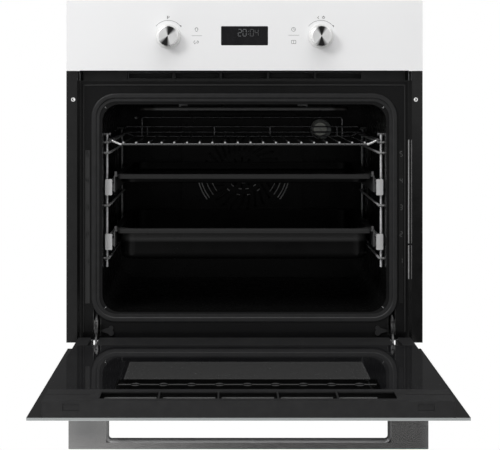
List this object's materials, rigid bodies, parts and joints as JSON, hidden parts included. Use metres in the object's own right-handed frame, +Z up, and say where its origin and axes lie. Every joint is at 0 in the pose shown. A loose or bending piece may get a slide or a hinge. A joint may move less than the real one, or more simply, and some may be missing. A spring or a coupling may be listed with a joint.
{
  "type": "built-in wall oven",
  "caption": "Built-in electric single oven with a white glass control panel, knobs, trays on runners, a wire shelf and a drop-down door with a bar handle.",
  "frame": {"origin": "middle of the underside of the body, in the plane of the kitchen cabinet's front edges", "axes": "+Z up, -Y out of the front towards the user, +X to the right of a user who faces the oven"},
  "size_m": [0.595, 1.0052, 0.6285],
  "materials": {
    "white_glass": "white enamel behind clear glass",
    "display_glass": "smoked",
    "black_glass": "black printed border, clear middle",
    "clear_glass": "low-emissivity pane",
    "black_enamel": "gloss vitreous enamel",
    "black_paint": "satin powder coat",
    "galvanised": "zinc coated sheet",
    "brushed_steel": "horizontal brushing",
    "bright_steel": "chrome-plated wire and runners",
    "zinc_steel": "zinc-plated pressings",
    "heater_rod": "oxidised sheath",
    "black_plastic": "fine texture",
    "white_plastic": "smooth",
    "silicone": "satin",
    "mineral_wool": "fibrous blanket",
    "board_green": "circuit board",
    "knob_silver": "spun face",
    "bulb_glass": "frosted"
  },
  "bodies": {
    "cabinet": {"base_pan": "galvanised", "side_panels": "galvanised", "rear_panel": "galvanised", "top_cover": "galvanised", "side_rails": "black_paint", "rail_bushes": "white_plastic", "front_frame": "black_enamel", "air_outlet": "black_plastic", "cavity_wrap": "black_enamel", "cavity_back_wall": "black_enamel", "insulation": "mineral_wool", "door_gasket": "silicone", "cavity_fittings": "zinc_steel", "side_racks": "bright_steel", "fixed_rails": "bright_steel", "grill_element": "heater_rod", "bottom_element": "heater_rod", "ring_heater": "heater_rod", "fan_cover": "black_enamel", "fan_motors": "zinc_steel", "lamp_housing": "zinc_steel", "lamp_lens": "clear_glass", "lamp_bulb": "bulb_glass", "blower_housing": "galvanised", "air_duct": "galvanised", "control_board": "board_green", "mains_inlet": "black_plastic", "control_panel_glass": "white_glass", "display_window": "display_glass", "panel_carrier": "galvanised", "panel_electronics": "board_green", "hinge_arms": "zinc_steel", "door_buffers": "silicone"},
    "door": {"door_outer_glass": "white_glass", "door_middle_glass": "clear_glass", "door_inner_glass": "black_glass", "door_side_channels": "black_paint", "door_heel_rail": "black_paint", "door_top_trim": "black_plastic", "door_trim_caps": "black_plastic", "glass_spacers": "silicone", "door_handle": "brushed_steel", "door_hardware": "zinc_steel", "hinge_cases": "zinc_steel"},
    "function_knob": {"function_knob_cap": "knob_silver", "function_knob_skirt": "white_plastic"},
    "temperature_knob": {"temperature_knob_cap": "knob_silver", "temperature_knob_skirt": "white_plastic"},
    "upper_slide_left_body": {"upper_slide_left": "bright_steel"},
    "upper_slide_right_body": {"upper_slide_right": "bright_steel"},
    "lower_slide_left_body": {"lower_slide_left": "bright_steel"},
    "lower_slide_right_body": {"lower_slide_right": "bright_steel"},
    "shallow_tray_body": {"shallow_tray": "black_enamel"},
    "deep_tray_body": {"deep_tray": "black_enamel"},
    "wire_shelf_body": {"wire_shelf": "bright_steel"},
    "convection_fan_body": {"convection_fan": "zinc_steel", "fan_shaft": "zinc_steel"},
    "blower_wheel_body": {"blower_wheel": "zinc_steel"},
    "latch_left": {"hinge_latch_left": "zinc_steel"},
    "latch_right": {"hinge_latch_right": "zinc_steel"}
  },
  "joints": [
    {"name": "door_hinge", "type": "hinge", "parent": "cabinet", "child": "door", "pos_m": [0, -0.01745, -0.00695], "axis": [-1, 0, 0], "range_deg": [0, 90]},
    {"name": "function_knob_turn", "type": "hinge", "parent": "cabinet", "child": "function_knob", "pos_m": [-0.127, -0.03, 0.5115], "axis": [0, 1, 0], "continuous": true},
    {"name": "temperature_knob_turn", "type": "hinge", "parent": "cabinet", "child": "temperature_knob", "pos_m": [0.127, -0.03, 0.5115], "axis": [0, 1, 0], "continuous": true},
    {"name": "upper_runner", "type": "slide", "parent": "cabinet", "child": "upper_slide_left_body", "axis": [0, 1, 0], "range_m": [-0.3, 0]},
    {"name": "upper_runner_right", "type": "slide", "parent": "cabinet", "child": "upper_slide_right_body", "axis": [0, 1, 0], "range_m": [-0.3, 0]},
    {"name": "lower_runner", "type": "slide", "parent": "cabinet", "child": "lower_slide_left_body", "axis": [0, 1, 0], "range_m": [-0.3, 0]},
    {"name": "lower_runner_right", "type": "slide", "parent": "cabinet", "child": "lower_slide_right_body", "axis": [0, 1, 0], "range_m": [-0.3, 0]},
    {"name": "shallow_tray_lift", "type": "slide", "parent": "upper_slide_left_body", "child": "shallow_tray_body", "axis": [0, 0, -1], "range_m": [-0.03, 0]},
    {"name": "deep_tray_lift", "type": "slide", "parent": "lower_slide_left_body", "child": "deep_tray_body", "axis": [0, 0, -1], "range_m": [-0.03, 0]},
    {"name": "shelf_slide", "type": "slide", "parent": "cabinet", "child": "wire_shelf_body", "axis": [0, 1, 0], "range_m": [-0.25, 0]},
    {"name": "convection_fan_spin", "type": "hinge", "parent": "cabinet", "child": "convection_fan_body", "pos_m": [0, 0.41, 0.257], "axis": [0, 1, 0], "continuous": true},
    {"name": "blower_wheel_spin", "type": "hinge", "parent": "cabinet", "child": "blower_wheel_body", "pos_m": [0, 0.352, 0.492], "axis": [1, 0, 0], "continuous": true},
    {"name": "latch_flip_left", "type": "hinge", "parent": "cabinet", "child": "latch_left", "pos_m": [-0.2486, -0.0072, 0.033], "axis": [1, 0, 0], "range_deg": [-70, 0]},
    {"name": "latch_flip_right", "type": "hinge", "parent": "cabinet", "child": "latch_right", "pos_m": [0.2486, -0.0072, 0.033], "axis": [1, 0, 0], "range_deg": [-70, 0]}
  ],
  "couplings": [
    {"joint": "upper_runner_right", "follows": "upper_runner", "ratio": 1},
    {"joint": "lower_runner_right", "follows": "lower_runner", "ratio": 1}
  ]
}
